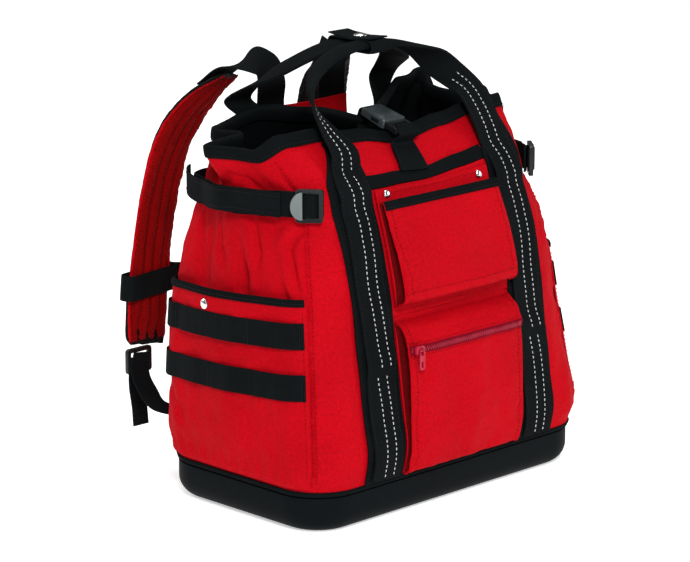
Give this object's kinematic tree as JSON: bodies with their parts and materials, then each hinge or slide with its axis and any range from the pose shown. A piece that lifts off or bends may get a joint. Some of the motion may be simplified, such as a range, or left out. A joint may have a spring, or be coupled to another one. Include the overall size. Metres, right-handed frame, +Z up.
{
  "type": "tool backpack",
  "caption": "Open-topped tool backpack of red cloth on a black moulded tray, with webbing handles, pockets and padded shoulder straps",
  "frame": {"origin": "middle of the tray's underside, on the floor", "axes": "+Z up, -Y towards the front of the bag, +X to the right as seen from the front"},
  "size_m": [0.4016, 0.3414, 0.4434],
  "materials": {
    "red_cloth": "woven polyester, matt",
    "black_lining": "thin coated cloth",
    "black_webbing": "ribbed webbing and grosgrain tape",
    "tray_rubber": "moulded, matt",
    "buckle_plastic": "moulded, satin",
    "polished_metal": "polished",
    "crimson_zip": "coil zip with a coated slider"
  },
  "bodies": {
    "bag": {"back_yoke": "red_cloth", "bag_body": "red_cloth", "bag_lining": "black_lining", "base_band": "black_webbing", "base_tray": "tray_rubber", "buckle_female": "buckle_plastic", "buckle_male": "buckle_plastic", "centre_strap": "black_webbing", "chest_buckle": "buckle_plastic", "chest_strap_left": "black_webbing", "chest_strap_right": "black_webbing", "flat_pocket": "red_cloth", "flat_pocket_binding": "black_webbing", "front_handle": "black_webbing", "front_pocket": "red_cloth", "front_pocket_back": "red_cloth", "front_pocket_binding": "black_webbing", "front_strap_left": "black_webbing", "front_strap_right": "black_webbing", "handle_tab": "black_webbing", "ladder_lock_left": "buckle_plastic", "ladder_lock_right": "buckle_plastic", "lower_lock_left": "buckle_plastic", "lower_lock_right": "buckle_plastic", "lower_strap_left": "black_webbing", "lower_strap_right": "black_webbing", "pad_band_left": "black_webbing", "pad_band_right": "black_webbing", "pocket_rivet_left": "polished_metal", "pocket_rivet_right": "polished_metal", "rear_handle": "black_webbing", "rim_binding": "black_webbing", "shoulder_pad_left": "red_cloth", "shoulder_pad_right": "red_cloth", "shoulder_strap_left": "black_webbing", "shoulder_strap_right": "black_webbing", "side_pocket_binding_left": "black_webbing", "side_pocket_binding_right": "black_webbing", "side_pocket_left": "red_cloth", "side_pocket_right": "red_cloth", "side_row_lower_left": "black_webbing", "side_row_lower_right": "black_webbing", "side_row_upper_left": "black_webbing", "side_row_upper_right": "black_webbing", "side_snap_left": "polished_metal", "side_snap_right": "polished_metal", "side_strap_end_left": "black_webbing", "side_strap_end_right": "black_webbing", "side_strap_left": "black_webbing", "side_strap_right": "black_webbing", "tab_snap": "polished_metal", "zip_pocket": "red_cloth", "zip_slider": "crimson_zip", "zip_tape": "crimson_zip"},
    "zip_puller": {"zip_pull": "crimson_zip"}
  },
  "joints": [
    {"name": "zip_pull", "type": "hinge", "parent": "bag", "child": "zip_puller", "pos_m": [-0.07138, -0.13208, 0.16709], "axis": [-1, 0, 0], "range_deg": [0, 150]}
  ]
}
